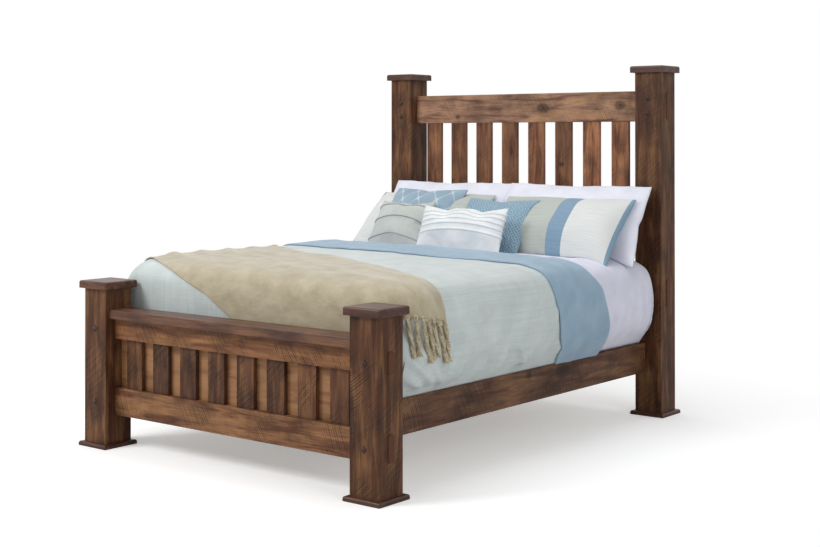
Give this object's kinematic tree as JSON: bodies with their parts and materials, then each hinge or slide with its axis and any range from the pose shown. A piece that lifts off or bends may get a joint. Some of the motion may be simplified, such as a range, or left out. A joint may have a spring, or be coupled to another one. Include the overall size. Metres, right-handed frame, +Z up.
{
  "type": "bed",
  "caption": "Dressed bed in rough-sawn timber with capped square posts, slatted headboard and footboard, pegged through tenons, duvet, throw and stacked pillows.",
  "frame": {"origin": "on the floor, under the middle of the bed frame", "axes": "+X to the right seen from the foot, +Y from foot to head, +Z up"},
  "size_m": [1.8506, 2.4624, 1.822],
  "materials": {
    "walnut_stained_timber": "satin, rough-sawn",
    "plain_pine": "planed, unfinished",
    "zinc_plated_steel": "zinc plated",
    "foundation_cover": "woven",
    "mattress_ticking": "woven",
    "lavender_sheet": "smooth cotton",
    "aqua_duvet": "slubbed, slight sheen",
    "blue_turnback": "slubbed, slight sheen",
    "beige_chenille": "chenille pile",
    "white_cotton": "smooth cotton",
    "striped_linen": "linen",
    "lattice_cloth": "woven",
    "blue_weave": "basket weave",
    "sage_pleats": "pleated"
  },
  "bodies": {
    "bed_frame": {"head_post_left": "walnut_stained_timber", "head_post_left_cap": "walnut_stained_timber", "head_post_left_plinth": "walnut_stained_timber", "head_post_right": "walnut_stained_timber", "head_post_right_cap": "walnut_stained_timber", "head_post_right_plinth": "walnut_stained_timber", "foot_post_left": "walnut_stained_timber", "foot_post_left_cap": "walnut_stained_timber", "foot_post_left_plinth": "walnut_stained_timber", "foot_post_right": "walnut_stained_timber", "foot_post_right_cap": "walnut_stained_timber", "foot_post_right_plinth": "walnut_stained_timber", "headboard_top_rail": "walnut_stained_timber", "headboard_bottom_rail": "walnut_stained_timber", "headboard_slat_1": "walnut_stained_timber", "headboard_slat_2": "walnut_stained_timber", "headboard_slat_3": "walnut_stained_timber", "headboard_slat_4": "walnut_stained_timber", "headboard_slat_5": "walnut_stained_timber", "headboard_slat_6": "walnut_stained_timber", "headboard_slat_7": "walnut_stained_timber", "headboard_slat_8": "walnut_stained_timber", "footboard_cap_rail": "walnut_stained_timber", "footboard_top_rail": "walnut_stained_timber", "footboard_bottom_rail": "walnut_stained_timber", "footboard_panel": "walnut_stained_timber", "footboard_slat_1": "walnut_stained_timber", "footboard_slat_2": "walnut_stained_timber", "footboard_slat_3": "walnut_stained_timber", "footboard_slat_4": "walnut_stained_timber", "footboard_slat_5": "walnut_stained_timber", "footboard_slat_6": "walnut_stained_timber", "footboard_slat_7": "walnut_stained_timber", "footboard_slat_8": "walnut_stained_timber", "side_rail_left": "walnut_stained_timber", "side_rail_right": "walnut_stained_timber", "tenon_pegs": "walnut_stained_timber", "cleat_left": "plain_pine", "cleat_right": "plain_pine", "support_slats": "plain_pine", "centre_beam": "plain_pine", "centre_legs": "plain_pine", "rail_hooks": "zinc_plated_steel", "post_hook_plates": "zinc_plated_steel", "wood_screws": "zinc_plated_steel", "foundation": "foundation_cover"},
    "mattress_set": {"mattress": "mattress_ticking", "fitted_sheet": "lavender_sheet", "duvet": "aqua_duvet", "duvet_turnback": "blue_turnback", "throw": "beige_chenille", "throw_tassels": "beige_chenille"},
    "back_pillows": {"sleeping_pillow_left": "white_cotton", "sleeping_pillow_right": "white_cotton", "striped_sham_left": "striped_linen", "striped_sham_right": "striped_linen", "lattice_pillow": "lattice_cloth"},
    "weave_cushion": {"weave_pillow": "blue_weave"},
    "lumbar_cushion": {"lumbar_pillow": "white_cotton"},
    "pleated_cushion": {"pleated_pillow": "sage_pleats"}
  },
  "joints": [
    {"name": "mattress_lift", "type": "slide", "parent": "bed_frame", "child": "mattress_set", "axis": [0, 0, 1], "range_m": [0, 0.3]},
    {"name": "back_pillows_lift", "type": "slide", "parent": "mattress_set", "child": "back_pillows", "axis": [0, -0.342, 0.9397], "range_m": [0, 0.25]},
    {"name": "weave_cushion_lift", "type": "slide", "parent": "back_pillows", "child": "weave_cushion", "axis": [0, -0.342, 0.9397], "range_m": [0, 0.25]},
    {"name": "lumbar_cushion_lift", "type": "slide", "parent": "weave_cushion", "child": "lumbar_cushion", "axis": [0, -0.342, 0.9397], "range_m": [0, 0.25]},
    {"name": "pleated_cushion_lift", "type": "slide", "parent": "back_pillows", "child": "pleated_cushion", "axis": [0, -0.342, 0.9397], "range_m": [0, 0.25]}
  ]
}
